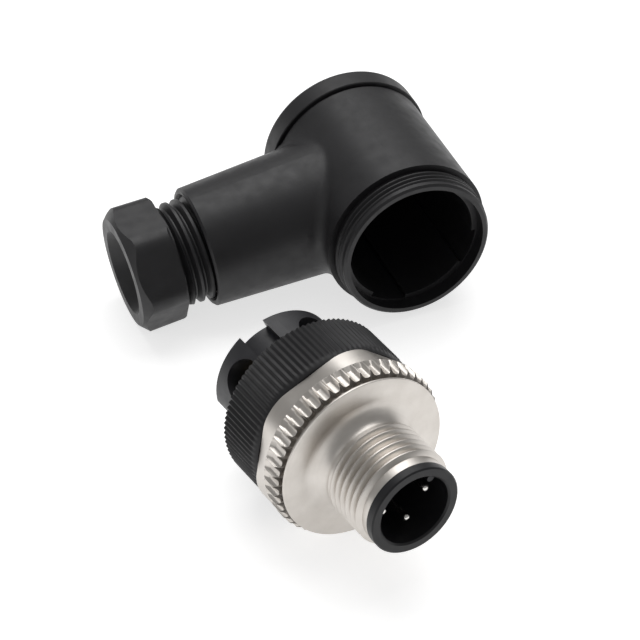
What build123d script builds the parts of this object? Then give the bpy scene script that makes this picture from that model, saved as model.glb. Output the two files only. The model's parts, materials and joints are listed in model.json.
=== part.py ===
from build123d import *
import math
import os

# Field-wired angled M12 plug, taken apart into its two halves and lying on a table.
# Every piece is drawn along its own axis, then placed by the frame of the half it belongs to.
# In an axis frame +Z points out of the open end and +X points up.
# Millimetres throughout.

# Clearances shared by the fits
running_gap = 0.07
seat_gap = 0.05
loose_gap = 0.20

# Radii that the two halves share, from the terminal block outwards
block_radius = 7.55
inner_radius = block_radius + loose_gap
channel_floor_step = 0.50
channel_radius = inner_radius + channel_floor_step
mouth_step = 0.18
lip_inner_radius = channel_radius + mouth_step
lip_wall = 0.77
lip_outer_radius = lip_inner_radius + lip_wall
collar_groove_depth = 0.15
collar_root_radius = lip_outer_radius - collar_groove_depth
collar_thread_height = 0.33
collar_crest_radius = collar_root_radius + collar_thread_height
union_thread_gap = 0.09
union_thread_radius = collar_crest_radius + union_thread_gap
union_wall = 0.91
union_radius = union_thread_radius + union_wall
flute_step = 0.22
flute_crest_radius = union_radius + flute_step

# Plug half, measured back from the front rim of the contact cup
thread_crest_radius = 5.95
thread_root_radius = 5.40
thread_length = 6.00
thread_front = 2.35
thread_lead_in = 0.45
cup_rim_length = 1.10
cup_rim_radius = 5.45
cup_bore_radius = 4.25
cup_depth = 8.80
cup_sleeve_radius = 4.85
cup_length = 14.00
key_tip_radius = 3.35
key_width = 0.80
key_angle = -38.5

flange_edge_step = 0.58
flange_edge_radius = flute_crest_radius - flange_edge_step
flange_edge_depth = 10.20
flange_edge_thickness = 0.28
flange_hub_radius = 7.60
flute_end_depth = 13.50
coupling_rear_depth = 15.50
flute_depth = 0.54
flute_count = 50
neck_cut = 1.05
neck_radius = flute_crest_radius - neck_cut
neck_end_depth = 11.00
flute_cone_length = 0.40
hex_flat_cut = 0.80
hex_flat_half = flute_crest_radius - hex_flat_cut
hex_corner_round = 4.50
hex_corner_angle = -10.0
coupling_bore_step = 0.25
coupling_bore_radius = block_radius - coupling_bore_step
coupling_web = 1.25

union_front_depth = 15.56
union_rear_depth = 21.95
union_knurl_depth = 0.20
union_rib_count = 96
union_chamfer_length = 1.30
union_front_taper = 0.33
union_front_radius = union_radius - union_front_taper
union_hook_length = 1.30
union_hook_catch = 0.90

block_rear_depth = 28.40
block_nose_radius = coupling_bore_radius - running_gap
block_nose_depth = flange_edge_depth + coupling_web + loose_gap
block_flange_reach = 1.35
block_flange_radius = block_radius + block_flange_reach
union_hook_radius = block_flange_radius - union_hook_catch
block_flange_length = 1.20
block_slot_width = 3.20
block_slot_floor = 6.20
block_slot_angle = 22.0
well_radius = 2.60
well_angle = 60.0
well_depth = 24.20

pin_circle_radius = 2.75
pin_radius = 0.50
pin_tip_depth = 1.90
pin_collar_radius = 0.75
pin_tail_radius = 0.45
pin_angle = key_angle + 45

clamp_inner = 1.60
clamp_outer = 4.60
clamp_side_low = -1.15
clamp_side_high = 2.25
clamp_length = 5.00
wire_hole_radius = 0.80
wire_hole_reach = 2.95
screw_shank_radius = 1.00
screw_head_radius = 1.80
screw_head_length = 0.90
screw_slot_width = 0.50

seal_wire_radius = 0.55

# Housing half, measured back from the lip of its open end
collar_length = 3.12
collar_thread_length = 2.00
collar_relief = 0.35
shell_shoulder = 0.50
shell_front_radius = collar_crest_radius + shell_shoulder
shell_taper = 0.10
shell_back_radius = shell_front_radius - shell_taper
rim_groove_depth = 20.00
rim_groove_width = 0.42
rim_groove_cut = 0.23
rim_groove_radius = shell_back_radius - rim_groove_cut
rim_step = 0.37
rim_radius = shell_back_radius + rim_step
housing_length = 23.35
rim_edge_round = 0.70
wall = 2.00
counterbore_depth = 1.70
channel_width_angle = 33.0
channel_angle = 63.0

# Side tube and cable gland, measured out from the housing's bore axis
tube_depth = 13.15
tube_mouth = 22.75
tube_mouth_radius = 7.28
tube_mouth_round = 0.25
tube_draft = 0.045
tube_root_round = 1.90
gland_crest_radius = 6.25
gland_root_radius = 5.62
gland_pitch = 1.27
gland_relief = 0.85
gland_shank_length = 6.50
gland_opening = 3.70
gland_travel_in = 3.55
gland_travel_out = 1.20
head_length = 5.55
head_flat_half = 6.85
head_draft = 1.5
head_corner_round = 2.20
head_front_chamfer = 0.35
head_turn = 30.0
gland_bore_radius = 4.10
countersink_radius = 5.15
countersink_depth = 1.70
thrust_ring_thickness = 1.20
thrust_ring_bore = 4.40
cable_radius = 2.60
seat_distance = 9.70
cable_passage_radius = 4.70

# Resting attitude and layout on the table
plug_turn = 9.89
plug_side = -18.30
plug_ahead = 40.90


def ring_profile(points):
    """A closed half section in the X-Z plane, spun round the Z axis."""
    face = Plane.XZ * make_face(Polyline(points, close=True))
    return revolve(face, axis=Axis.Z)


def tube(outer, inner, front, back):
    """Plain hollow cylinder between two depths behind the datum."""
    length = back - front
    body = Pos(0, 0, -back) * Cylinder(outer, length, align=(Align.CENTER, Align.CENTER, Align.MIN))
    return body - Pos(0, 0, -back - 1) * Cylinder(inner, length + 2, align=(Align.CENTER, Align.CENTER, Align.MIN))


def rod(radius, front, back):
    """Solid cylinder between two depths behind the datum."""
    return Pos(0, 0, -back) * Cylinder(radius, back - front, align=(Align.CENTER, Align.CENTER, Align.MIN))


def build_coupling_ring():
    """Metal ring that turns freely: threaded nose, dished flange, fluted grip and hexagonal base."""
    nose_bore = cup_sleeve_radius + running_gap
    nose_front = -cup_rim_length - seat_gap
    thread_end = -thread_front - thread_length
    hub_foot = (flange_hub_radius, -flange_edge_depth + 0.12)
    hub_middle = (thread_root_radius + 0.62, -flange_edge_depth + 0.62)
    hub_top = (thread_root_radius, thread_end - 0.15)
    nose = Polyline((nose_bore, thread_end), (nose_bore, nose_front), (thread_root_radius, nose_front),
                    (thread_root_radius, -thread_front + thread_lead_in), (thread_crest_radius, -thread_front),
                    (thread_crest_radius, thread_end), hub_top)
    dish = ThreePointArc(hub_top, hub_middle, hub_foot)
    web_back = -flange_edge_depth - coupling_web
    flange_back = -flange_edge_depth - flange_edge_thickness
    flute_root = flute_crest_radius - flute_depth
    band_end = -flute_end_depth - 0.10
    back = Polyline(hub_foot, (flange_edge_radius, -flange_edge_depth), (flange_edge_radius, flange_back),
                    (neck_radius, flange_back - 0.10), (neck_radius, band_end),
                    (coupling_bore_radius, band_end), (coupling_bore_radius, web_back),
                    (nose_bore, web_back), (nose_bore, thread_end))
    body = revolve(Plane.XZ * make_face([nose, dish, back]), axis=Axis.Z)
    body += build_fluted_band(flute_root)

    # The hexagonal base has large corner rounds, and its corners stand proud of the flutes
    outline = fillet(RegularPolygon(hex_flat_half, 6, major_radius=False).vertices(), hex_corner_round)
    base = Pos(0, 0, -coupling_rear_depth) * Rot(0, 0, hex_corner_angle) * extrude(
        outline, amount=coupling_rear_depth - flute_end_depth)
    return body + (base - rod(coupling_bore_radius, flute_end_depth - 1, coupling_rear_depth + 1))


def build_fluted_band(flute_root):
    """Grip of near-round flutes, whose front ends are cut off by a cone."""
    step = 2 * math.pi / flute_count
    rim = []
    for index in range(flute_count):
        for share, radius in ((-0.40, flute_crest_radius), (-0.18, flute_root), (0.18, flute_root),
                              (0.40, flute_crest_radius)):
            angle = step * (index + share)
            rim.append((radius * math.cos(angle), radius * math.sin(angle)))
    band = Pos(0, 0, -flute_end_depth - 0.10) * extrude(
        make_face(Polyline(rim, close=True)), amount=flute_end_depth + 0.10 - neck_end_depth)
    cone_foot = neck_radius - 0.05
    crest = flute_crest_radius + 0.05
    cone_end = -neck_end_depth - flute_cone_length
    limit = ring_profile([(0, -neck_end_depth), (cone_foot, -neck_end_depth), (crest, cone_end),
                          (crest, -flute_end_depth - 0.20), (0, -flute_end_depth - 0.20)])
    return (band & limit) - rod(neck_radius - 0.10, neck_end_depth - 1, flute_end_depth + 1)


def build_contact_insert():
    """Moulded cup with the coding key, whose sleeve passes through the coupling ring."""
    rim_round = 0.15
    lead_in = 0.20
    points = [(cup_bore_radius + lead_in, 0), (cup_rim_radius - rim_round, 0), (cup_rim_radius, -rim_round),
              (cup_rim_radius, -cup_rim_length), (cup_sleeve_radius, -cup_rim_length),
              (cup_sleeve_radius, -cup_length), (0, -cup_length), (0, -cup_depth),
              (cup_bore_radius, -cup_depth), (cup_bore_radius, -lead_in)]
    body = ring_profile(points)
    key_reach = cup_bore_radius + 0.15 - key_tip_radius
    rib = Pos(key_tip_radius + key_width / 2 + key_reach / 2, 0, -cup_depth / 2 - 0.35) * Box(
        key_reach, key_width, cup_depth - 0.7)
    nose = Pos(key_tip_radius + key_width / 2, 0, -cup_depth) * Cylinder(
        key_width / 2, cup_depth - 0.7, align=(Align.CENTER, Align.CENTER, Align.MIN))
    key = Rot(0, 0, key_angle) * (rib + nose)
    wall_limit = rod(cup_sleeve_radius - 0.1, 0, cup_depth)
    body += key & wall_limit
    for index in range(4):
        spot = Rot(0, 0, pin_angle + 90 * index) * Pos(pin_circle_radius, 0, 0)
        body -= spot * rod(pin_collar_radius, cup_depth + 0.60, cup_length + 1)
        body -= spot * rod(pin_radius, cup_depth - 1, cup_length)
    return body


def build_contact_pin(index):
    """Turned pin with a tapered tip, a collar seated in the insert and a tail for its clamp."""
    tail_end = block_rear_depth - 2.60
    tip = 0.6 * pin_radius
    point = ring_profile([(0, -pin_tip_depth), (0.55 * pin_radius, -pin_tip_depth),
                         (pin_radius, -pin_tip_depth - tip), (0, -pin_tip_depth - tip)])
    shaft = rod(pin_radius, pin_tip_depth + tip, cup_depth + 0.60)
    collar = rod(pin_collar_radius, cup_depth + 0.60, cup_length + 1.20)
    tail = rod(pin_tail_radius, cup_length + 1.20, tail_end)
    return Rot(0, 0, pin_angle + 90 * index) * Pos(pin_circle_radius, 0, 0) * (point + shaft + collar + tail)


def clamp_pocket(gap):
    """Rectangular room of one wire clamp, with a gap all round it, in the direction of its well."""
    width = clamp_outer - clamp_inner + 2 * gap
    side = clamp_side_high - clamp_side_low + 2 * gap
    centre = ((clamp_inner + clamp_outer) / 2, (clamp_side_low + clamp_side_high) / 2)
    return Pos(centre[0], centre[1], 0) * Rectangle(width, side)


def build_terminal_block():
    """Slotted carrier of the wire clamps, with a flange that the union ring hooks on."""
    nose_end = coupling_rear_depth + seat_gap
    flange_front = union_front_depth + union_hook_length + seat_gap
    hook_radius = union_hook_radius - running_gap
    points = [(0, -block_nose_depth), (block_nose_radius, -block_nose_depth), (block_nose_radius, -nose_end),
              (hook_radius, -nose_end), (hook_radius, -flange_front), (block_flange_radius, -flange_front),
              (block_flange_radius, -flange_front - block_flange_length),
              (block_radius, -flange_front - block_flange_length), (block_radius, -block_rear_depth + 0.15),
              (block_radius - 0.15, -block_rear_depth), (0, -block_rear_depth)]
    body = ring_profile(points)
    body -= rod(cup_sleeve_radius + seat_gap, block_nose_depth - 1, cup_length + seat_gap)
    slot_front = flange_front + block_flange_length + 2 * seal_wire_radius + 0.20
    for index in range(4):
        slot = Rot(0, 0, block_slot_angle + 90 * index) * Pos(block_slot_floor, 0, -slot_front) * Box(
            4, block_slot_width, block_rear_depth, align=(Align.CENTER, Align.CENTER, Align.MAX))
        slot -= rod(block_slot_floor, slot_front - 1, 2 * block_rear_depth)
        turned = Rot(0, 0, well_angle + 90 * index)
        pocket = turned * Pos(0, 0, -block_rear_depth - 1) * extrude(
            clamp_pocket(seat_gap), amount=clamp_length + 2.60)
        well = turned * Pos(clamp_outer - 0.5, 0, -well_depth) * Rot(0, 90, 0) * Cylinder(
            well_radius, 6, align=(Align.CENTER, Align.CENTER, Align.MIN))
        pin_way = Rot(0, 0, pin_angle + 90 * index) * Pos(pin_circle_radius, 0, 0)
        body -= [slot, pocket, well]
        body -= pin_way * rod(pin_collar_radius + seat_gap, cup_length - 1, cup_length + 1.20 + seat_gap)
        body -= pin_way * rod(pin_tail_radius + seat_gap, cup_length, block_rear_depth - clamp_length)
    return body


def build_wire_clamp(index):
    """Brass block with an axial wire hole, a screw hole across it and the pin's tail pressed in."""
    back = -(block_rear_depth - 1.60)
    body = Pos(0, 0, back) * extrude(clamp_pocket(0), amount=clamp_length)
    body -= Pos(wire_hole_reach, 0, 0) * rod(wire_hole_radius, block_rear_depth - 8, block_rear_depth)
    body -= Pos(wire_hole_reach, 0, -well_depth) * Rot(0, 90, 0) * Cylinder(
        screw_shank_radius + 0.05, 4, align=(Align.CENTER, Align.CENTER, Align.MIN))
    body = Rot(0, 0, well_angle + 90 * index) * body
    tail = Rot(0, 0, pin_angle + 90 * (index + 1)) * Pos(pin_circle_radius, 0, 0) * rod(
        pin_tail_radius, cup_length, block_rear_depth)
    return body - tail


def build_clamp_screw(index):
    """Slotted screw that closes one wire clamp from the outside of the block."""
    head_base = clamp_outer + 0.30
    shank = Pos(wire_hole_reach + 0.95, 0, 0) * Rot(0, 90, 0) * Cylinder(
        screw_shank_radius, head_base - wire_hole_reach - 0.95, align=(Align.CENTER, Align.CENTER, Align.MIN))
    head = Pos(head_base, 0, 0) * Rot(0, 90, 0) * Cylinder(
        screw_head_radius, screw_head_length, align=(Align.CENTER, Align.CENTER, Align.MIN))
    slot = Pos(head_base + screw_head_length, 0, 0) * Box(1.0, screw_slot_width, 2 * screw_head_radius + 1)
    return Rot(0, 0, well_angle + 90 * index) * Pos(0, 0, -well_depth) * (shank + head - slot)


def build_union_ring():
    """Knurled nut that draws the two halves together; its hook bears on the block's flange."""
    knurl_front = union_front_depth + union_chamfer_length
    rim = []
    for index in range(2 * union_rib_count):
        radius = union_radius if index % 2 == 0 else union_radius - union_knurl_depth
        angle = math.pi * index / union_rib_count
        rim.append((radius * math.cos(angle), radius * math.sin(angle)))
    grip = Pos(0, 0, -union_rear_depth) * extrude(
        make_face(Polyline(rim, close=True)), amount=union_rear_depth - knurl_front)
    front = ring_profile([(0, -union_front_depth), (union_front_radius, -union_front_depth),
                          (union_radius - union_knurl_depth, -knurl_front + 0.10),
                          (union_radius - union_knurl_depth, -knurl_front - 0.20), (0, -knurl_front - 0.20)])
    body = grip + front
    body -= rod(union_hook_radius, union_front_depth - 1, union_rear_depth + 1)
    body -= rod(union_thread_radius, union_front_depth + union_hook_length, union_rear_depth + 1)
    return body


def build_housing_seal():
    """Round-section seal on the terminal block, where the lip of the housing lands."""
    flange_back = union_front_depth + union_hook_length + seat_gap + block_flange_length
    centre = (block_radius + seal_wire_radius + 0.02, -flange_back - seal_wire_radius - 0.02)
    section = Pos(*centre) * RegularPolygon(seal_wire_radius, 8, major_radius=False, rotation=22.5)
    return revolve(Plane.XZ * section, axis=Axis.Z)


def build_housing():
    """Angled shell in one moulding: threaded collar, barrel with a grooved back rim and side tube."""
    relief_front = -collar_length + collar_relief
    thread_start = relief_front + collar_thread_length
    outline = [
        (0, 0), (lip_outer_radius - 0.25, 0), (lip_outer_radius, -0.25), (lip_outer_radius, thread_start),
        (collar_crest_radius, thread_start - 0.10), (collar_crest_radius, relief_front),
        (collar_root_radius, relief_front - 0.15), (collar_root_radius, -collar_length),
        (shell_front_radius, -collar_length), (shell_back_radius, -housing_length - tube_root_round),
        (0, -housing_length - tube_root_round)]
    barrel = ring_profile(outline)

    # The side tube is a drafted cone, widest at its root, blended into the barrel
    root_radius = tube_mouth_radius + tube_draft * tube_mouth
    branch = Cone(root_radius, tube_mouth_radius, tube_mouth, align=(Align.CENTER, Align.CENTER, Align.MIN))
    branch = chamfer(branch.edges().group_by(Axis.Z)[-1], tube_mouth_round)
    shell = barrel + side_frame() * branch
    seam = [edge for edge in shell.edges() if is_branch_seam(edge)]
    shell = fillet(seam, tube_root_round)
    shell -= rod(2 * rim_radius, housing_length - rim_edge_round, 2 * housing_length)
    shell += build_back_rim()
    shell -= groove_cut(root_radius + 0.20)

    cavity_end = housing_length - wall
    shell -= rod(inner_radius, -1, cavity_end)
    shell -= rod(lip_inner_radius, -1, counterbore_depth)
    for index in range(4):
        shell -= channel_cut(channel_angle + 90 * index, cavity_end)

    # The gland's bore ends on a seat for the cable seal
    bore_radius = gland_crest_radius + running_gap
    bore = Pos(0, 0, seat_distance) * Cylinder(
        bore_radius, tube_mouth, align=(Align.CENTER, Align.CENTER, Align.MIN))
    entry = Pos(0, 0, tube_mouth - 0.30) * Cone(bore_radius, bore_radius + 0.35, 0.60)
    passage = Cylinder(cable_passage_radius, seat_distance + 1, align=(Align.CENTER, Align.CENTER, Align.MIN))
    return shell - side_frame() * (bore + entry + passage)


def build_back_rim():
    """Slightly larger disc that closes the back of the barrel, with a rounded edge."""
    bend = math.sqrt(0.5) * rim_edge_round
    front = -rim_groove_depth - rim_groove_width
    round_start = -housing_length + rim_edge_round
    edge = Polyline((0, front), (rim_radius - 0.10, front), (rim_radius, front - 0.10), (rim_radius, round_start))
    corner = ThreePointArc((rim_radius, round_start), (rim_radius - rim_edge_round + bend, round_start - bend),
                           (rim_radius - rim_edge_round, -housing_length))
    close = Polyline((rim_radius - rim_edge_round, -housing_length), (0, -housing_length), (0, front))
    return revolve(Plane.XZ * make_face([edge, corner, close]), axis=Axis.Z)


def groove_cut(clear_radius):
    """Narrow groove ahead of the back rim, which stops short of the side tube's root."""
    ring = tube(rim_radius + 1, rim_groove_radius, rim_groove_depth, rim_groove_depth + rim_groove_width)
    root = side_frame() * Cylinder(clear_radius, 2 * rim_radius, align=(Align.CENTER, Align.CENTER, Align.MIN))
    return ring - root


def side_frame():
    """Places a piece drawn along +Z onto the side tube's axis, still in the housing's axis frame."""
    return Location(Plane(origin=(0, 0, -tube_depth), x_dir=(1, 0, 0), z_dir=(0, 1, 0)))


def is_branch_seam(edge):
    """True on the closed curve where the side tube meets the barrel."""
    box = edge.bounding_box()
    extents = (box.max.X - box.min.X, box.max.Y - box.min.Y, box.max.Z - box.min.Z)
    return min(extents) > 1


def channel_cut(angle, cavity_end):
    """Wide keyway in the bore that takes a rib of the assembled carrier."""
    half = math.radians(channel_width_angle / 2)
    reach = 2 * channel_radius
    wedge = make_face(Polyline((0, 0), (reach * math.cos(half), -reach * math.sin(half)),
                               (reach * math.cos(half), reach * math.sin(half)), close=True))
    sector = extrude(wedge & Circle(channel_radius), amount=cavity_end - 2)
    return Rot(0, 0, angle) * Pos(0, 0, -cavity_end + 2) * sector


def build_cable_seal():
    """Rubber sleeve that the gland squeezes onto the cable."""
    outer = gland_crest_radius - 0.12
    front = seat_distance + seat_gap
    back = gland_inner_end() - gland_travel_in - thrust_ring_thickness - 0.10
    points = [(cable_radius, front + 0.30), (cable_radius + 0.30, front), (outer - 0.40, front),
              (outer, front + 0.40), (outer, back - 1.20), (outer - 0.80, back), (cable_radius, back)]
    return ring_profile(points)


def gland_inner_end():
    """Distance from the bore axis to the inner end of the gland's shank, as photographed."""
    return tube_mouth + gland_opening - gland_shank_length


def build_thrust_ring():
    """Plain ring that rides on the end of the gland and keeps the seal from twisting."""
    top = gland_inner_end() - seat_gap
    outer = gland_crest_radius - 0.03
    points = [(thrust_ring_bore, top), (outer, top), (outer, top - thrust_ring_thickness + 0.25),
              (outer - 0.25, top - thrust_ring_thickness), (thrust_ring_bore, top - thrust_ring_thickness)]
    return ring_profile(points)


def build_pressing_screw():
    """Hollow gland screw with a hexagonal head, standing partly out of the tube."""
    start = gland_inner_end()
    head_base = start + gland_shank_length
    head_top = head_base + head_length
    relief_end = head_base - gland_relief
    shank = ring_profile([
        (gland_bore_radius, head_base + 0.2), (gland_root_radius, head_base + 0.2),
        (gland_root_radius, relief_end + 0.35), (gland_crest_radius, relief_end),
        (gland_crest_radius, start + 0.60), (gland_root_radius, start), (gland_bore_radius, start)])
    outline = fillet(RegularPolygon(head_flat_half, 6, major_radius=False).vertices(), head_corner_round)
    head = Pos(0, 0, head_base) * Rot(0, 0, head_turn) * extrude(outline, amount=head_length, taper=-head_draft)
    front_half = head_front_half()
    corner = front_half + 1.00
    face = front_half - head_front_chamfer
    turned = ring_profile([(0, head_base), (corner - 0.70, head_base), (corner, head_base + 0.70),
                           (corner, head_top - (corner - face)),
                           (face, head_top), (0, head_top)])
    head &= turned
    head -= Pos(0, 0, head_base - 1) * Cylinder(gland_bore_radius, head_length + 2, align=(
        Align.CENTER, Align.CENTER, Align.MIN))
    head -= Pos(0, 0, head_top - countersink_depth) * Cone(
        gland_bore_radius, countersink_radius, countersink_depth, align=(Align.CENTER, Align.CENTER, Align.MIN))
    return head + shank


def head_front_half():
    """Half the width over the flats at the front of the gland's drafted head."""
    return head_flat_half + head_length * math.tan(math.radians(head_draft))


def tube_droop():
    """Angle by which the side tube leans down until the gland's head touches the table."""
    reach = tube_mouth + gland_opening + head_length - head_front_chamfer
    half = head_front_half()
    return math.degrees(math.atan2(reach, half) - math.acos(rim_radius / math.hypot(reach, half)))


def plug_lift():
    """Angle by which the plug leans back from the rear of its flutes onto the union ring."""
    return math.degrees(math.atan2(flute_crest_radius - union_radius, union_rear_depth - flute_end_depth))


def housing_frame():
    """Frame of the housing's bore: open end towards -Y, side tube towards -X and a little down."""
    level = Location(Plane(origin=(0, 0, 0), x_dir=(0, 0, 1), z_dir=(0, -1, 0)))
    return Pos(0, -tube_depth, rim_radius) * Rot(0, -tube_droop(), 0) * level


def plug_frame():
    """Frame of the plug half, with its datum at the front rim of the contact cup."""
    level = Location(Plane(origin=(0, 0, 0), x_dir=(0, 0, 1), z_dir=(0, -1, 0)))
    tilt = plug_lift()
    lift = flute_crest_radius * math.cos(math.radians(tilt)) + flute_end_depth * math.sin(math.radians(tilt))
    spot = Pos(plug_side, -tube_depth - plug_ahead, lift)
    return spot * Rot(0, 0, plug_turn) * Rot(-tilt, 0, 0) * level


def build_nodes():
    """All pieces in place, by node name."""
    plug = plug_frame()
    shell = housing_frame()
    gland = shell * side_frame()
    nodes = {
        "housing": shell * build_housing(),
        "cable_seal": gland * build_cable_seal(),
        "thrust_ring": gland * build_thrust_ring(),
        "pressing_screw": gland * build_pressing_screw(),
        "coupling_ring": plug * build_coupling_ring(),
        "contact_insert": plug * build_contact_insert(),
        "terminal_block": plug * build_terminal_block(),
        "union_ring": plug * build_union_ring(),
        "housing_seal": plug * build_housing_seal(),
    }
    for index in range(4):
        number = index + 1
        nodes[f"contact_pin_{number}"] = plug * build_contact_pin(index)
        nodes[f"wire_clamp_{number}"] = plug * build_wire_clamp(index)
        nodes[f"clamp_screw_{number}"] = plug * build_clamp_screw(index)
    return nodes


def table_shift(nodes):
    """Move that puts the middle of the whole part's footprint at the origin, on the table."""
    boxes = [piece.bounding_box() for piece in nodes.values()]
    left = min(box.min.X for box in boxes)
    right = max(box.max.X for box in boxes)
    front = min(box.min.Y for box in boxes)
    back = max(box.max.Y for box in boxes)
    bottom = min(box.min.Z for box in boxes)
    return Pos(-(left + right) / 2, -(front + back) / 2, -bottom)


def main():
    os.makedirs("parts", exist_ok=True)
    nodes = build_nodes()
    shift = table_shift(nodes)
    for name, piece in nodes.items():
        placed = shift * piece
        export_step(placed, f"parts/{name}.step")
        print(name, len(placed.solids()), round(placed.volume, 2))


if __name__ == "__main__":
    main()
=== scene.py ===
# %% [markdown]
# # An angled M12 plug, taken apart, on a white table
#
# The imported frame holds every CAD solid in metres, standing where the real pieces lie.
# This script dresses that frame. It cuts the threads, the flutes and the knurl, which are
# too fine for the CAD solids, and it gives every piece a procedural finish.

# %% Load the frame
import json
import math
import bmesh
import bpy
from mathutils import Matrix, Vector


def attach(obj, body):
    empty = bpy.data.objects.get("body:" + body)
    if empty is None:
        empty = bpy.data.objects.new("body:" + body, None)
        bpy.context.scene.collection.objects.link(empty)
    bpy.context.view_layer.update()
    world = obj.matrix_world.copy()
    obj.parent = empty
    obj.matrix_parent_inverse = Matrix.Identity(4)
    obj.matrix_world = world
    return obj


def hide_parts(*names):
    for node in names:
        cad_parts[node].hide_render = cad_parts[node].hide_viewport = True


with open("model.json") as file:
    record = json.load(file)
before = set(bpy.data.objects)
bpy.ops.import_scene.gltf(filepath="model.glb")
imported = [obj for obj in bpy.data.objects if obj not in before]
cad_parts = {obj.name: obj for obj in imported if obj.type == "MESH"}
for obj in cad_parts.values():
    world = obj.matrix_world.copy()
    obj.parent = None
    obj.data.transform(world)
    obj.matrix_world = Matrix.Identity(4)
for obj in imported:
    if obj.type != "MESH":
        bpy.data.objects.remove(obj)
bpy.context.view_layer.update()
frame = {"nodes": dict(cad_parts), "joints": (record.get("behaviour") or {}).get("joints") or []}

print("nodes in the frame:", len(frame["nodes"]))

# %% [markdown]
# ## Two axes to work on
#
# The plug half is turned about one axis, and the housing half about two that cross at a
# right angle. Modelling is easy along +Z, so each piece is drawn in millimetres with its
# axis on Z, and one matrix then takes it to its place. The joints of the frame state those
# axes, which is safer than typing angles a second time.

# %% Find the axes
MM = Matrix.Scale(0.001, 4)
coupling_joint_depth = 0.010
gland_joint_reach = 0.025
tube_depth = 0.01315
joints = {joint["name"]: joint for joint in frame["joints"]}


def axis_place(origin, out, up):
    """Matrix from millimetres on +Z, with +X as up, to metres in the frame."""
    z = out.normalized()
    x = (up - up.dot(z) * z).normalized()
    y = z.cross(x)
    turn = Matrix((x, y, z)).transposed().to_4x4()
    return Matrix.Translation(origin) @ turn @ MM


plug_out = Vector(joints["coupling_turn"]["axis"])
plug_front = Vector(joints["coupling_turn"]["pos_m"]) + coupling_joint_depth * plug_out
plug = axis_place(plug_front, plug_out, Vector((0, 0, 1)))

gland_in = Vector(joints["gland_turn"]["axis"])
crossing = Vector(joints["gland_turn"]["pos_m"]) + gland_joint_reach * gland_in
tube_up = Vector((-gland_in.z, 0, gland_in.x))
gland = axis_place(crossing, -gland_in, tube_up)

lip_centre = crossing - Vector((0, tube_depth, 0))
shell = axis_place(lip_centre, Vector((0, -1, 0)), tube_up)
print("front of the cup:", [round(v * 1000, 2) for v in plug_front])
print("middle of the housing's lip:", [round(v * 1000, 2) for v in lip_centre])

# %% [markdown]
# ## A finish for moulded black plastic
#
# Glass-filled polyamide is not one flat black. The tool leaves a very fine grain, the
# surface is a little uneven in gloss, and handling polishes it here and there. Three noise
# textures do that: a broad one for colour, a middle one for roughness and a fine one for
# bump. They read Object coordinates, so that the grain stays on the piece when it moves.

# %% Black plastic
NOISE_LOW = 0.3
NOISE_HIGH = 0.7
grain_depth = 0.00001


def new_material(name):
    """New material with nodes, given with its node tree and its shader."""
    material = bpy.data.materials.new(name)
    material.use_nodes = True
    tree = material.node_tree
    shader = tree.nodes["Principled BSDF"]
    return material, tree, shader


def add_noise(tree, vector, scale, detail=3.0, roughness=0.5):
    """Noise texture in Object coordinates, which are metres."""
    noise = tree.nodes.new("ShaderNodeTexNoise")
    noise.inputs["Scale"].default_value = scale
    noise.inputs["Detail"].default_value = detail
    noise.inputs["Roughness"].default_value = roughness
    tree.links.new(vector, noise.inputs["Vector"])
    return noise.outputs["Fac"]


def add_ramp(tree, value, low, high):
    """Colour ramp between two greys or colours."""
    ramp = tree.nodes.new("ShaderNodeValToRGB")
    ramp.color_ramp.elements[0].position = NOISE_LOW
    ramp.color_ramp.elements[1].position = NOISE_HIGH
    ramp.color_ramp.elements[0].color = (*low, 1.0)
    ramp.color_ramp.elements[1].color = (*high, 1.0)
    tree.links.new(value, ramp.inputs["Fac"])
    return ramp.outputs["Color"]


def add_range(tree, value, low, high):
    """Stretches the middle of a noise onto another range."""
    stretch = tree.nodes.new("ShaderNodeMapRange")
    stretch.inputs["From Min"].default_value = NOISE_LOW
    stretch.inputs["From Max"].default_value = NOISE_HIGH
    stretch.inputs["To Min"].default_value = low
    stretch.inputs["To Max"].default_value = high
    tree.links.new(value, stretch.inputs["Value"])
    return stretch.outputs["Result"]


def add_bump(tree, shader, height, depth, strength):
    """Small height field on the surface, depth in metres."""
    bump = tree.nodes.new("ShaderNodeBump")
    bump.inputs["Distance"].default_value = depth
    bump.inputs["Strength"].default_value = strength
    tree.links.new(height, bump.inputs["Height"])
    tree.links.new(bump.outputs["Normal"], shader.inputs["Normal"])


def black_plastic(name, dark, light, gloss=(0.42, 0.55), grain=9000.0, shine=0.5):
    """Moulded black polyamide between two near-black colours."""
    material, tree, shader = new_material(name)
    coords = tree.nodes.new("ShaderNodeTexCoord").outputs["Object"]
    clouds = add_noise(tree, coords, 260.0, detail=4.0)
    tree.links.new(add_ramp(tree, clouds, dark, light), shader.inputs["Base Color"])
    patches = add_noise(tree, coords, 700.0, detail=5.0)
    tree.links.new(add_range(tree, patches, *gloss), shader.inputs["Roughness"])
    add_bump(tree, shader, add_noise(tree, coords, grain, detail=2.0), grain_depth, 0.35)
    shader.inputs["IOR"].default_value = 1.5
    shader.inputs["Specular IOR Level"].default_value = shine
    return material


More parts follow.
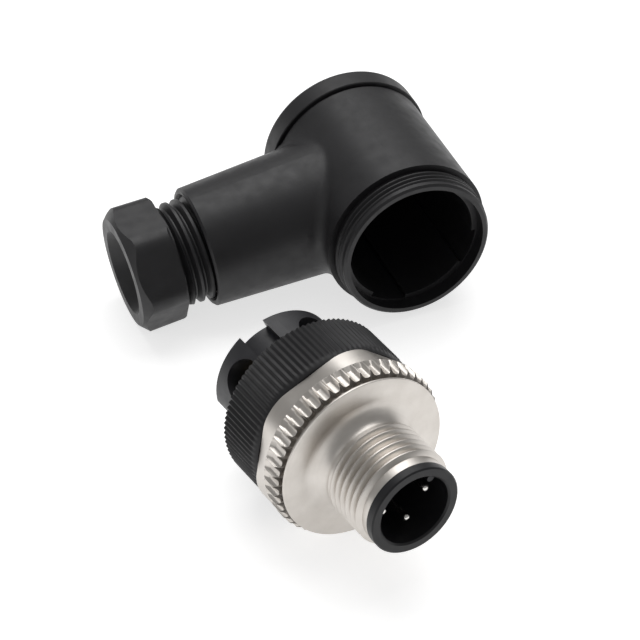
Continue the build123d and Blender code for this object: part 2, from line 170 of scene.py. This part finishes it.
housing_black = black_plastic("housing_black_polyamide", (0.0110, 0.0106, 0.0120), (0.0155, 0.0150, 0.0168))
gland_black = black_plastic("gland_black_polyamide", (0.0150, 0.0145, 0.0160), (0.0210, 0.0205, 0.0222))
union_black = black_plastic("union_ring_black", (0.0110, 0.0105, 0.0118), (0.0160, 0.0155, 0.0170),
                            shine=0.34)
block_black = black_plastic("terminal_block_black", (0.0200, 0.0198, 0.0235), (0.0290, 0.0288, 0.0330),
                            gloss=(0.34, 0.48))
insert_black = black_plastic("insert_black", (0.0110, 0.0108, 0.0124), (0.0160, 0.0158, 0.0176),
                             gloss=(0.35, 0.48), shine=0.34)
seal_rubber = black_plastic("seal_rubber", (0.0100, 0.0100, 0.0100), (0.0180, 0.0180, 0.0180),
                            gloss=(0.60, 0.75), grain=5000.0)
ring_grey = black_plastic("thrust_ring_grey", (0.30, 0.30, 0.29), (0.38, 0.38, 0.37), gloss=(0.40, 0.55))
print("materials so far:", len(bpy.data.materials))

# %% [markdown]
# ## A finish for metal
#
# The coupling ring is turned metal under a nickel plating with a satin look. Its round
# faces carry faint rings from the lathe. Rings follow the distance from the axis and the
# height along it, so the Mapping node first turns the coordinates onto the plug's own axis.
# The rings then drive a little bump and some of the roughness.

# %% Metal
ring_scale = 14000.0
ring_depth = 0.000004


def add_rings(tree, place):
    """Noise that only changes with radius and height on the axis of a placed piece."""
    coords = tree.nodes.new("ShaderNodeTexCoord").outputs["Object"]
    mapping = tree.nodes.new("ShaderNodeMapping")
    mapping.vector_type = "TEXTURE"
    mapping.inputs["Location"].default_value = place.to_translation()
    mapping.inputs["Rotation"].default_value = place.to_euler()
    tree.links.new(coords, mapping.inputs["Vector"])
    split = tree.nodes.new("ShaderNodeSeparateXYZ")
    tree.links.new(mapping.outputs["Vector"], split.inputs["Vector"])
    flat = tree.nodes.new("ShaderNodeCombineXYZ")
    tree.links.new(split.outputs["X"], flat.inputs["X"])
    tree.links.new(split.outputs["Y"], flat.inputs["Y"])
    radius = tree.nodes.new("ShaderNodeVectorMath")
    radius.operation = "LENGTH"
    tree.links.new(flat.outputs["Vector"], radius.inputs[0])
    pair = tree.nodes.new("ShaderNodeCombineXYZ")
    tree.links.new(radius.outputs["Value"], pair.inputs["X"])
    tree.links.new(split.outputs["Z"], pair.inputs["Y"])
    stretched = tree.nodes.new("ShaderNodeVectorMath")
    stretched.operation = "MULTIPLY"
    stretched.inputs[1].default_value = (ring_scale, ring_scale, 0.0)
    tree.links.new(pair.outputs["Vector"], stretched.inputs[0])
    return add_noise(tree, stretched.outputs["Vector"], 1.0, detail=4.0, roughness=0.6)


def satin_metal(name, dark, light, gloss, place):
    """Plated or turned metal with faint lathe rings round the axis of its piece."""
    material, tree, shader = new_material(name)
    coords = tree.nodes.new("ShaderNodeTexCoord").outputs["Object"]
    clouds = add_noise(tree, coords, 420.0, detail=5.0)
    tree.links.new(add_ramp(tree, clouds, dark, light), shader.inputs["Base Color"])
    rings = add_rings(tree, place)
    tree.links.new(add_range(tree, rings, *gloss), shader.inputs["Roughness"])
    add_bump(tree, shader, rings, ring_depth, 0.5)
    shader.inputs["Metallic"].default_value = 1.0
    return material


nickel = satin_metal("satin_nickel", (0.60, 0.565, 0.525), (0.68, 0.645, 0.605), (0.32, 0.44), plug)
pin_silver = satin_metal("pin_plating", (0.72, 0.70, 0.67), (0.80, 0.78, 0.75), (0.14, 0.24), plug)
clamp_brass = satin_metal("clamp_brass", (0.55, 0.42, 0.20), (0.66, 0.52, 0.27), (0.26, 0.38), plug)
screw_steel = satin_metal("clamp_screw_steel", (0.50, 0.49, 0.47), (0.60, 0.59, 0.57), (0.24, 0.36), plug)
# Painted shade: a darker nickel for the neck and the cone in front of the flutes, which lie in the flange's
# shade. It is also a little rougher.
neck_painted_shade_nickel = satin_metal("nickel_with_painted_shade_in_the_neck", (0.30, 0.275, 0.25), (0.38, 0.355, 0.33), (0.42, 0.55), plug)
print("materials so far:", len(bpy.data.materials))

# %% [markdown]
# ## Tools for turned pieces
#
# Almost everything here was turned or moulded round an axis. Blender's spin operator is the
# lathe: a closed outline of a few corners is swept once round Z. A Bevel modifier then
# rounds what is sharper than about thirty degrees, because no real edge is knife sharp and
# a small round is what catches the light.

# %% Lathe
sharp_angle = math.radians(30.0)
bevel_segments = 2


def spin_outline(bm, outline, steps=128, closed=True):
    """Sweeps corners of radius and height round Z. An open outline starts and ends on it."""
    corners = [bm.verts.new((radius, 0, height)) for radius, height in outline]
    following = corners[1:] + corners[:1] if closed else corners[1:]
    edges = [bm.edges.new(pair) for pair in zip(corners, following)]
    bmesh.ops.spin(bm, geom=corners + edges, cent=(0, 0, 0), axis=(0, 0, 1), dvec=(0, 0, 0),
                   angle=math.tau, steps=steps, use_merge=True)


def finish_piece(bm, name, place, material, body, bevel):
    """Closes and places a mesh drawn in millimetres, then makes it a riding piece."""
    bmesh.ops.remove_doubles(bm, verts=bm.verts, dist=0.0005)
    bmesh.ops.recalc_face_normals(bm, faces=bm.faces)
    bmesh.ops.transform(bm, matrix=place, verts=bm.verts, space=Matrix())
    mesh = bpy.data.meshes.new(name)
    bm.to_mesh(mesh)
    bm.free()
    mesh.shade_smooth()
    mesh.set_sharp_from_angle(angle=sharp_angle)
    mesh.materials.append(material)
    piece = bpy.data.objects.new(name, mesh)
    bpy.context.scene.collection.objects.link(piece)
    if bevel:
        rounding = piece.modifiers.new("edge_round", "BEVEL")
        rounding.width = bevel * 0.001
        rounding.segments = bevel_segments
        rounding.limit_method = "ANGLE"
        rounding.angle_limit = sharp_angle
        rounding.harden_normals = True
        rounding.use_clamp_overlap = True
    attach(piece, body)
    print(name, "faces:", len(mesh.polygons))
    return piece


# %% [markdown]
# ## A screw thread
#
# A thread is one ridge that winds round a core. Spin can climb while it turns: its dvec
# moves the section along the axis at every step. The section is a small trapezium whose
# foot lies inside the core. At both ends the ridge has to die away, as it does where a
# lathe tool runs in and out, so every corner is pulled in under a limit that slopes to the
# core at each end.

# %% Thread
foot_sink = 0.12
foot_share = 0.46
foot_step = 0.03


def wind_thread(bm, crest, root, pitch, low, high, lead, start_angle=0.0, land=0.16, steps=72):
    """Ridge with a flat crest between two heights. A crest inside the root is an inner thread."""
    outward = 1.0 if crest > root else -1.0
    foot = root - outward * foot_sink
    half_foot = foot_share * pitch
    half_crest = land * pitch / 2
    turns = (high - low) / pitch
    section = [(foot, -half_foot), (root, -half_foot + foot_step), (crest, -half_crest),
               (crest, half_crest), (root, half_foot - foot_step), (foot, half_foot)]
    older = set(bm.verts)
    corners = [bm.verts.new((radius, 0, low + height)) for radius, height in section]
    face = bm.faces.new(corners)
    bmesh.ops.rotate(bm, verts=corners, cent=(0, 0, 0), matrix=Matrix.Rotation(start_angle, 3, "Z"))
    count = round(turns * steps)
    bmesh.ops.spin(bm, geom=corners + list(face.edges) + [face], cent=(0, 0, 0), axis=(0, 0, 1),
                   dvec=(0, 0, pitch / steps), angle=turns * math.tau, steps=count)
    for vert in [vert for vert in bm.verts if vert not in older]:
        radius = math.hypot(vert.co.x, vert.co.y)
        slope = min(vert.co.z - low, high - vert.co.z) / lead
        allowed = foot + (crest - foot) * max(0.0, min(1.0, slope))
        if (radius - allowed) * outward > 0:
            vert.co.x *= allowed / radius
            vert.co.y *= allowed / radius
    return turns


# %% [markdown]
# ## Starting from a CAD solid
#
# Where the CAD solid already has the right form and only lacks its thread, its mesh is
# copied and its loose triangles are merged. On the copy the cylinder that stands for the
# thread crests is drawn in to the core, and the ridge is wound on that. The long triangles
# of a CAD mesh shade badly once they are merged, so the exact normals of the solid are put
# by in a layer of the mesh first and given back at the end.

# %% Copy a solid


def copy_solid(node, place):
    """Merged copy of a CAD node's mesh, in millimetres on its axis, with its normals put by."""
    solid = frame["nodes"][node].data
    bm = bmesh.new()
    bm.from_mesh(solid)
    put_by = bm.loops.layers.float_vector.new("exact_normal")
    corners = [corner for face in bm.faces for corner in face.loops]
    for corner, normal in zip(corners, solid.corner_normals):
        corner[put_by] = normal.vector
    bmesh.ops.transform(bm, matrix=place.inverted(), verts=bm.verts, space=Matrix())
    bmesh.ops.remove_doubles(bm, verts=bm.verts, dist=0.002)
    return bm


def draw_in(bm, radius, core, low, high):
    """Moves what lies on one radius, between two heights, to the radius of the core."""
    moved = 0
    for vert in bm.verts:
        here = math.hypot(vert.co.x, vert.co.y)
        if abs(here - radius) < 0.02 and low < vert.co.z < high:
            vert.co.x *= core / here
            vert.co.y *= core / here
            moved += 1
    return moved


def give_back_normals(piece):
    """Puts the exact normals on the corners that have one. The others keep their own."""
    exact = piece.data.attributes["exact_normal"]
    normals = [tuple(value.vector) for value in exact.data]
    piece.data.attributes.remove(exact)
    piece.data.normals_split_custom_set(normals)
    print("corners with exact normals:", sum(any(normal) for normal in normals), "of", len(normals))


# %% [markdown]
# ## The housing
#
# One black moulding: barrel, side tube and a collar with a fine thread that the union ring
# screws onto. The CAD solid has every form but the thread.

# %% Housing
collar_crest = 9.38
collar_root = 9.05
collar_pitch = 0.68
housing_bm = copy_solid("housing", shell)
print("collar corners drawn in:", draw_in(housing_bm, collar_crest, collar_root, -3.0, -0.7))
wind_thread(housing_bm, collar_crest, collar_root, collar_pitch, -2.95, -0.62, lead=0.30,
            start_angle=1.0, land=0.22, steps=128)
housing = finish_piece(housing_bm, "housing_shell", shell, housing_black, "base", bevel=0)
give_back_normals(housing)
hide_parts("housing")

# %% [markdown]
# ## The gland's pressing screw
#
# It has a drafted hexagonal head and a coarse thread with rounded crests, of which three or
# four turns stand out of the tube.

# %% Pressing screw
gland_low = 19.95
gland_crest = 6.25
gland_root = 5.62
gland_pitch = 1.27
screw_bm = copy_solid("pressing_screw", gland)
print("gland corners drawn in:", draw_in(screw_bm, gland_crest, gland_root, gland_low, 26.0))
wind_thread(screw_bm, gland_crest, gland_root, gland_pitch, gland_low + 0.05, 26.05, lead=0.55,
            start_angle=2.2, land=0.26)
pressing_screw = finish_piece(screw_bm, "gland_pressing_screw", gland, gland_black,
                              "pressing_screw", bevel=0)
give_back_normals(pressing_screw)
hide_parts("pressing_screw")

# %% [markdown]
# ## The coupling ring
#
# The real ring is one piece of metal, and the eye goes to it first. Its core is turned, so
# it is spun: threaded nose, dished flange and the neck behind the flange. The fluted band
# and the hexagonal base follow in cells of their own, in the same mesh.

# %% Coupling ring, core
nose_bore = 4.92
nose_crest = 5.95
nose_root = 5.40
nose_pitch = 1.0
flange_edge = 10.02
neck = 9.55
base_bore = 7.30
ring_bm = bmesh.new()
core = [
    (nose_bore, -1.15), (nose_root, -1.15), (nose_root, -8.50), (5.47, -8.85), (5.70, -9.20),
    (6.05, -9.52), (6.60, -9.85), (7.15, -10.04), (7.60, -10.08), (9.90, -10.20),
    (flange_edge, -10.26), (flange_edge, -10.46), (neck, -10.58), (neck, -13.60),
    (base_bore, -13.60), (base_bore, -11.45), (nose_bore, -11.45),
]
spin_outline(ring_bm, core, steps=160)
print("core corners:", len(ring_bm.verts))
nose_turns = wind_thread(ring_bm, nose_crest, nose_root, nose_pitch, -8.60, -1.95, lead=0.45,
                         start_angle=0.5, land=0.12)
print("turns of thread:", nose_turns)

# %% [markdown]
# Each flute is a shallow hollow with a nearly flat floor, and only a narrow land is left
# between two of them. The section of one flute is copied round the axis with spin. A cone
# then cuts the front off, so a corner lies further back the further out it is: that gives
# the flutes their round fronts and the lands their dark points. At the back every hollow
# rises to the level of the lands, so the flutes end in a smooth band.

# %% Coupling ring, flutes
flute_crest = 10.59
flute_root = 10.14
flute_count = 50
flute_segments = 12
flute_flatness = 4.0
land_share = 0.045
band_front = -11.00
band_back = -12.80
band_smooth = -13.35
band_level = 10.50
band_sink = 0.2
cone_length = 0.60
far_front = -50.0


def hollow_rim(bm, crest, root, count, segments, land, height):
    """Closed rim of hollows side by side, at one height. Returns its edges."""
    step = math.tau / count
    half_hollow = step * (0.5 - land)
    corners = []
    for index in range(segments + 1):
        across = 2 * index / segments - 1
        radius = root + (crest - root) * abs(across) ** flute_flatness
        turn = across * half_hollow
        corners.append(bm.verts.new((radius * math.cos(turn), radius * math.sin(turn), height)))
    turn = step - half_hollow
    corners.append(bm.verts.new((crest * math.cos(turn), crest * math.sin(turn), height)))
    edges = [bm.edges.new(pair) for pair in zip(corners, corners[1:])]
    bmesh.ops.spin(bm, geom=corners + edges, cent=(0, 0, 0), axis=(0, 0, 1), dvec=(0, 0, 0),
                   angle=math.tau * (count - 1) / count, steps=count - 1, use_duplicate=True)
    rim = [vert for vert in bm.verts if abs(vert.co.z - height) < 1e-5]
    bmesh.ops.remove_doubles(bm, verts=rim, dist=0.001)
    return [edge for edge in bm.edges if all(abs(vert.co.z - height) < 1e-5 for vert in edge.verts)]


def extrude_rim(bm, edges, move):
    """Extrudes a rim, puts each new corner where move says and returns the new rim."""
    made = bmesh.ops.extrude_edge_only(bm, edges=edges)["geom"]
    for vert in (item for item in made if isinstance(item, bmesh.types.BMVert)):
        vert.co = move(vert.co)
    return [item for item in made if isinstance(item, bmesh.types.BMEdge)]


def at_radius(radius, height):
    """Move that keeps the angle of a corner and sets its radius and height."""
    def move(corner):
        scale = radius / math.hypot(corner.x, corner.y)
        return Vector((corner.x * scale, corner.y * scale, height))
    return move


def at_height(height):
    """Move that only sets the height of a corner."""
    return lambda corner: Vector((corner.x, corner.y, height))


band_bm = bmesh.new()
front = hollow_rim(band_bm, flute_crest, flute_root, flute_count, flute_segments, land_share,
                   far_front)
back = extrude_rim(band_bm, front, at_height(band_back))
smooth = extrude_rim(band_bm, back, at_radius(band_level, band_smooth))
inner_back = extrude_rim(band_bm, smooth, at_radius(neck - band_sink, band_smooth))
inner_front = extrude_rim(band_bm, inner_back, at_radius(neck - band_sink, band_front))
cone_slope = cone_length / (flute_crest - flute_root)
for vert in band_bm.verts:
    if vert.co.z < far_front + 10:
        vert.co.z = band_front - cone_slope * (math.hypot(vert.co.x, vert.co.y) - flute_root)
bmesh.ops.bridge_loops(band_bm, edges=[edge for edge in band_bm.edges if edge.is_boundary])
print("band corners:", len(band_bm.verts))

# %% [markdown]
# The hexagonal base starts from a circle of six corners. Bevel rounds its corners, and
# extrude gives it height. Its flats are drafted: at the back it is a hexagon, and at the
# front it has turned into the circle that the flutes end on. Its two faces are opened to the
# bore by a ring of faces that is then bridged through.

# %% Coupling ring, hexagonal base
hex_flat_half = 9.80
hex_corner_round = 4.5
hex_turn = math.radians(-10 + 30)
hex_back = -15.50


def hex_plate(bm, flat_half, corner_round, turn, low, high, front_radius, bore, segments=14):
    """Hexagonal plate with rounded corners and a round bore, which is round at its front."""
    half_side = math.pi / 6
    corner_radius = flat_half / math.cos(half_side)
    made = bmesh.ops.create_circle(bm, cap_ends=True, segments=6, radius=corner_radius)
    bmesh.ops.bevel(bm, geom=made["verts"], offset=corner_round * math.tan(half_side),
                    offset_type="OFFSET", affect="VERTICES", segments=segments, profile=0.5, material=-1)
    outline = list(bm.faces)[-1]
    bmesh.ops.rotate(bm, verts=outline.verts, cent=(0, 0, 0), matrix=Matrix.Rotation(turn, 3, "Z"))
    bmesh.ops.translate(bm, verts=outline.verts, vec=(0, 0, low))
    flats = [edge for edge in outline.edges if edge.calc_length() > 1.0]
    bmesh.ops.subdivide_edges(bm, edges=flats, cuts=15)
    rim = list(bm.edges)
    bmesh.ops.delete(bm, geom=list(bm.faces), context="FACES_ONLY")
    top = extrude_rim(bm, rim, at_radius(front_radius, high))
    top_inner = extrude_rim(bm, top, at_radius(bore, high))
    low_inner = extrude_rim(bm, top_inner, at_radius(bore, low))
    bmesh.ops.bridge_loops(bm, edges=low_inner + rim)


base_bm = bmesh.new()
hex_plate(base_bm, hex_flat_half, hex_corner_round, hex_turn, hex_back, band_smooth, band_level,
          base_bore)
print("base corners:", len(base_bm.verts))

# %% [markdown]
# The core, the band and the base become one mesh. The cone in front of the flutes and the
# wall of the neck lie in the shade of the flange, and they get a darker nickel.

# %% Coupling ring, one piece


def join_mesh(target, source):
    """Adds one bmesh to another."""
    bmesh.ops.remove_doubles(source, verts=source.verts, dist=0.0005)
    bmesh.ops.recalc_face_normals(source, faces=source.faces)
    carrier = bpy.data.meshes.new("carrier")
    source.to_mesh(carrier)
    source.free()
    target.from_mesh(carrier)
    bpy.data.meshes.remove(carrier)


join_mesh(ring_bm, band_bm)
join_mesh(ring_bm, base_bm)
for face in ring_bm.faces:
    middle = face.calc_center_median()
    reach = math.hypot(middle.x, middle.y)
    if -11.65 < middle.z < -10.50 and 9.3 < reach < flute_crest - 0.02:
        face.material_index = 1
coupling = finish_piece(ring_bm, "threaded_coupling_ring", plug, nickel, "coupling_ring", bevel=0.04)
coupling.data.materials.append(neck_painted_shade_nickel)
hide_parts("coupling_ring")

# %% [markdown]
# ## The union ring
#
# Ninety-six rounded ribs make its grip. Its rim is a circle of many corners whose radius
# follows a wave, so ribs and grooves are equally round. Towards the metal ring the wave dies
# away in a smooth cone. Inside it has the thread that takes the housing's collar.

# %% Union ring
rib_count = 96
rib_depth = 0.20
rib_mean = 10.27
union_back = -21.95
union_front = -15.56
hook_bore = 8.00
hook_depth = -16.86
union_bore = 9.62
union_thread = 9.47


def at_wave(mean, depth, height):
    """Move that sets the height of a corner and lets its radius follow the ribs."""
    def move(corner):
        turn = math.atan2(corner.y, corner.x)
        radius = mean + depth / 2 * math.cos(rib_count * turn)
        return Vector((radius * math.cos(turn), radius * math.sin(turn), height))
    return move


union_bm = bmesh.new()
circle = bmesh.ops.create_circle(union_bm, cap_ends=False, segments=rib_count * 8, radius=10.2)
back_move = at_wave(rib_mean, rib_depth, union_back)
for corner in circle["verts"]:
    corner.co = back_move(corner.co)
ribs = list(union_bm.edges)
knurl_front = extrude_rim(union_bm, ribs, at_wave(rib_mean, rib_depth, -16.60))
smooth_front = extrude_rim(union_bm, knurl_front, at_radius(10.20, -16.20))
nose_rim = extrude_rim(union_bm, smooth_front, at_radius(10.06, -15.72))
face_rim = extrude_rim(union_bm, nose_rim, at_radius(9.92, union_front))
hook_front = extrude_rim(union_bm, face_rim, at_radius(hook_bore, union_front))
hook_back = extrude_rim(union_bm, hook_front, at_radius(hook_bore, hook_depth))
thread_front = extrude_rim(union_bm, hook_back, at_radius(union_bore, hook_depth))
thread_back = extrude_rim(union_bm, thread_front, at_radius(union_bore, union_back))
bmesh.ops.bridge_loops(union_bm, edges=thread_back + ribs)
wind_thread(union_bm, union_thread, union_bore, collar_pitch, -22.0, -17.2, lead=0.30, steps=128)
union = finish_piece(union_bm, "knurled_union_ring", plug, union_black, "union_ring", bevel=0.04)
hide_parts("union_ring")

# %% [markdown]
# ## Pins
#
# The pins are turned brass, plated, with a domed tip. They are open outlines that start
# and end on the axis.

# %% Pins
pin_circle = 2.75
first_pin_angle = -38.5 + 45
pin_outline = [
    (0.0, -1.90), (0.16, -1.915), (0.30, -1.97), (0.41, -2.08), (0.475, -2.22), (0.50, -2.42),
    (0.50, -9.40), (0.75, -9.40), (0.75, -15.20), (0.45, -15.20), (0.45, -25.80), (0.0, -25.80),
]
for index in range(4):
    pin_bm = bmesh.new()
    spin_outline(pin_bm, pin_outline, steps=40, closed=False)
    turn = math.radians(first_pin_angle + 90 * index)
    spot = plug @ Matrix.Rotation(turn, 4, "Z") @ Matrix.Translation((pin_circle, 0, 0))
    pin = finish_piece(pin_bm, f"plated_pin_{index + 1}", spot, pin_silver, "base", bevel=0.02)
    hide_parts(f"contact_pin_{index + 1}")

# %% [markdown]
# The seal on the terminal block is a ring of round section. The housing's lip lands on it.

# %% Seal ring
seal_wire = 0.55
seal_centre = Vector((8.12, 0, -18.68))
upright = Matrix.Rotation(math.pi / 2, 3, "X")
seal_bm = bmesh.new()
section = bmesh.ops.create_circle(seal_bm, cap_ends=False, segments=20, radius=seal_wire)
bmesh.ops.rotate(seal_bm, verts=section["verts"], cent=(0, 0, 0), matrix=upright)
bmesh.ops.translate(seal_bm, verts=section["verts"], vec=seal_centre)
bmesh.ops.spin(seal_bm, geom=section["verts"] + list(seal_bm.edges), cent=(0, 0, 0), axis=(0, 0, 1),
               dvec=(0, 0, 0), angle=math.tau, steps=96, use_merge=True)
seal = finish_piece(seal_bm, "round_seal_ring", plug, seal_rubber, "base", bevel=0)
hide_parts("housing_seal")

# %% [markdown]
# ## Finishes on the solids that stay
#
# The insert, the terminal block, the clamps and their screws keep their CAD form and only
# take a finish.

# %% Repaint
finishes = {"contact_insert": insert_black, "terminal_block": block_black, "cable_seal": seal_rubber,
            "thrust_ring": ring_grey}
for index in range(4):
    finishes[f"wire_clamp_{index + 1}"] = clamp_brass
    finishes[f"clamp_screw_{index + 1}"] = screw_steel
for node, finish in finishes.items():
    for slot in frame["nodes"][node].material_slots:
        slot.material = finish
print("solids repainted:", len(finishes))

# %% [markdown]
# ## Floor
#
# The photograph shows the parts on pure white under a large soft light from above. The
# floor is a pale matt plane that still takes the shadow. To the camera and in reflections
# it adds a little glow, so that it reads as white without more light on the object.

# %% Floor
floor_bm = bmesh.new()
bmesh.ops.create_grid(floor_bm, x_segments=1, y_segments=1, size=1.5)
floor_mesh = bpy.data.meshes.new("floor")
floor_bm.to_mesh(floor_mesh)
floor_bm.free()
floor = bpy.data.objects.new("floor", floor_mesh)
bpy.context.scene.collection.objects.link(floor)
floor_white, floor_tree, floor_shader = new_material("floor_white")
floor_shader.inputs["Base Color"].default_value = (0.72, 0.72, 0.72, 1.0)
floor_shader.inputs["Roughness"].default_value = 0.9
floor_shader.inputs["Specular IOR Level"].default_value = 0.0
glow = floor_tree.nodes.new("ShaderNodeEmission")
glow.inputs["Strength"].default_value = 0.68
seen = floor_tree.nodes.new("ShaderNodeLightPath")
either = floor_tree.nodes.new("ShaderNodeMath")
either.operation = "MAXIMUM"
floor_tree.links.new(seen.outputs["Is Camera Ray"], either.inputs[0])
floor_tree.links.new(seen.outputs["Is Glossy Ray"], either.inputs[1])
black_out = floor_tree.nodes.new("ShaderNodeMixShader")
floor_tree.links.new(either.outputs["Value"], black_out.inputs["Fac"])
floor_tree.links.new(glow.outputs["Emission"], black_out.inputs[2])
both = floor_tree.nodes.new("ShaderNodeAddShader")
floor_tree.links.new(floor_shader.outputs["BSDF"], both.inputs[0])
floor_tree.links.new(black_out.outputs["Shader"], both.inputs[1])
floor_tree.links.new(both.outputs["Shader"], floor_tree.nodes["Material Output"].inputs["Surface"])
floor_mesh.materials.append(floor_white)

# %% [markdown]
# ## Light
#
# The world gives a weak even light from all sides, and only the camera sees it as white.

# %% World
world = bpy.data.worlds.new("studio")
bpy.context.scene.world = world
world.use_nodes = True
sky = world.node_tree
back_light = sky.nodes["Background"]
back_light.inputs["Color"].default_value = (1.0, 1.0, 1.0, 1.0)
back_light.inputs["Strength"].default_value = 0.30
white_back = sky.nodes.new("ShaderNodeBackground")
white_back.inputs["Strength"].default_value = 1.0
ray = sky.nodes.new("ShaderNodeLightPath")
choose = sky.nodes.new("ShaderNodeMixShader")
sky.links.new(ray.outputs["Is Camera Ray"], choose.inputs["Fac"])
sky.links.new(back_light.outputs["Background"], choose.inputs[1])
sky.links.new(white_back.outputs["Background"], choose.inputs[2])
sky.links.new(choose.outputs["Shader"], sky.nodes["World Output"].inputs["Surface"])

# %% [markdown]
# A large softbox above and behind the object makes the broad highlights, and a small one on
# the left opens the shaded side.

# %% Lamps


def softbox(name, place, aim, width, radiance):
    """Square area lamp at a place, turned to a point, with an even brightness."""
    lamp = bpy.data.lights.new(name, "AREA")
    lamp.shape = "SQUARE"
    lamp.size = width
    lamp.energy = radiance * math.pi * width * width
    holder = bpy.data.objects.new(name, lamp)
    holder.location = place
    holder.rotation_euler = (Vector(aim) - Vector(place)).to_track_quat("-Z", "Y").to_euler()
    bpy.context.scene.collection.objects.link(holder)


softbox("top_light", (0.12, 0.26, 0.58), (0, 0, 0), 0.60, 2.3)
softbox("side_light", (-0.60, -0.05, 0.35), (0, 0, 0), 0.35, 0.35)

# %% [markdown]
# ## The camera
#
# The picture was matched by fitting circles of the object to their ellipses in the
# photograph. That gives a long lens and a view from about forty degrees above the table.

# %% Camera
camera_data = bpy.data.cameras.new("camera")
camera_data.sensor_width = 36.0
camera_data.lens = 172.1
camera_data.clip_start = 0.01
camera = bpy.data.objects.new("camera", camera_data)
right = Vector((0.9240, -0.3824, -0.0037))
down = Vector((-0.2488, -0.5937, -0.7653))
ahead = Vector((0.2904, 0.7080, -0.6437))
turned = Matrix((right, -down, -ahead)).transposed().to_quaternion()
camera.rotation_euler = turned.to_euler()
camera.location = lip_centre + Vector((-0.11602, -0.25289, 0.22329))
bpy.context.scene.collection.objects.link(camera)
bpy.context.scene.camera = camera
bpy.context.scene.view_settings.view_transform = "Standard"
